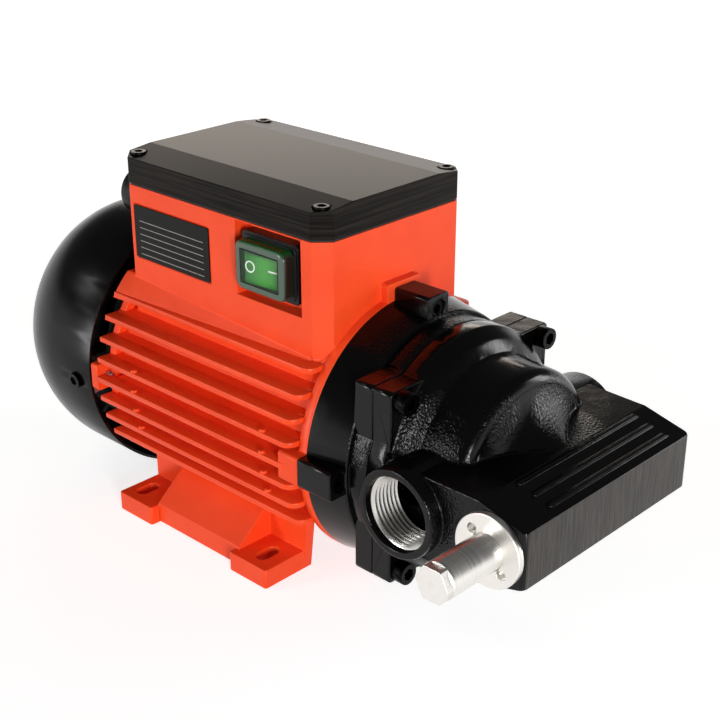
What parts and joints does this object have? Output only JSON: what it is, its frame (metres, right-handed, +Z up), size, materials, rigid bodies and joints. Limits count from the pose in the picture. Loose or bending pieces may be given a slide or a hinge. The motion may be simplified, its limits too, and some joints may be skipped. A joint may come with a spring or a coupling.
{
  "type": "diesel transfer pump",
  "caption": "Self-priming vane pump on a finned electric motor, with a switch box on top, slotted feet, threaded side ports and a bypass valve.",
  "frame": {"origin": "on the floor, midway between the two front foot slots", "axes": "+X along the motor axis from the fan to the pump, +Y away from the switch, +Z up"},
  "size_m": [0.3337, 0.1646, 0.1838],
  "materials": {
    "orange_paint": "orange-red enamel on cast aluminium",
    "black_paint": "glossy black enamel on cast aluminium",
    "black_cast": "glossy black enamel on rough cast iron",
    "cowl_steel": "satin black paint on pressed sheet",
    "lid_plastic": "satin black",
    "black_plastic": "satin black",
    "plate_black": "black print on a thin sheet, bare of words",
    "boot_clear": "clear soft boot",
    "rocker_green": "clear green, ribbed",
    "capacitor_white": "plain",
    "seal_rubber": "plain",
    "zinc_steel": "zinc plated",
    "black_steel": "black oxide",
    "bright_steel": "turned, bright",
    "bearing_steel": "ground",
    "shaft_steel": "ground",
    "core_steel": "stacked sheet",
    "copper_wire": "varnished copper",
    "fan_plastic": "plain",
    "vane_plastic": "self-lubricating",
    "cast_aluminium": "as cast",
    "contact_brass": "plain"
  },
  "bodies": {
    "pump": {"motor_housing": "orange_paint", "front_end_shield": "black_paint", "pump_body": "black_cast", "fan_cowl": "cowl_steel", "box_lid": "lid_plastic", "switch_frame": "black_plastic", "gland_body": "black_plastic", "gland_nut": "black_plastic", "gland_locknut": "black_plastic", "terminal_block": "black_plastic", "rating_plate": "plate_black", "switch_boot": "boot_clear", "capacitor": "capacitor_white", "lid_gasket": "seal_rubber", "gland_seal": "seal_rubber", "shaft_seal": "seal_rubber", "body_o_ring": "seal_rubber", "rear_tie_screws": "zinc_steel", "front_tie_screws": "zinc_steel", "lid_screws": "zinc_steel", "pump_screws": "black_steel", "cowl_screws": "black_steel", "bypass_ring": "bright_steel", "bypass_cap": "bright_steel", "bypass_spring": "bright_steel", "wave_washer": "bright_steel", "rear_bearing_outer": "bearing_steel", "front_bearing_outer": "bearing_steel", "cam_ring": "shaft_steel", "port_plate": "shaft_steel", "stator_core": "core_steel", "rear_winding": "copper_wire", "front_winding": "copper_wire", "rear_end_shield": "cast_aluminium", "switch_terminals": "contact_brass"},
    "shaft": {"motor_shaft": "shaft_steel", "rotor_core": "core_steel", "cooling_fan": "fan_plastic", "pump_rotor": "shaft_steel", "vanes": "vane_plastic", "rear_bearing_inner": "bearing_steel", "front_bearing_inner": "bearing_steel"},
    "rocker": {"switch_rocker": "rocker_green"},
    "poppet": {"bypass_poppet": "bright_steel"}
  },
  "joints": [
    {"name": "shaft_spin", "type": "hinge", "parent": "pump", "child": "shaft", "pos_m": [0, 0, 0.071], "axis": [1, 0, 0], "continuous": true},
    {"name": "rocker_tilt", "type": "hinge", "parent": "pump", "child": "rocker", "pos_m": [-0.0039, -0.0435, 0.1502], "axis": [0, 0, 1], "range_deg": [-14, 0]},
    {"name": "bypass_open", "type": "slide", "parent": "pump", "child": "poppet", "axis": [0, -1, 0], "range_m": [0, 0.004], "stiffness_N_per_m": 2000, "springref_m": -0.006, "deforming": ["bypass_spring"]}
  ]
}
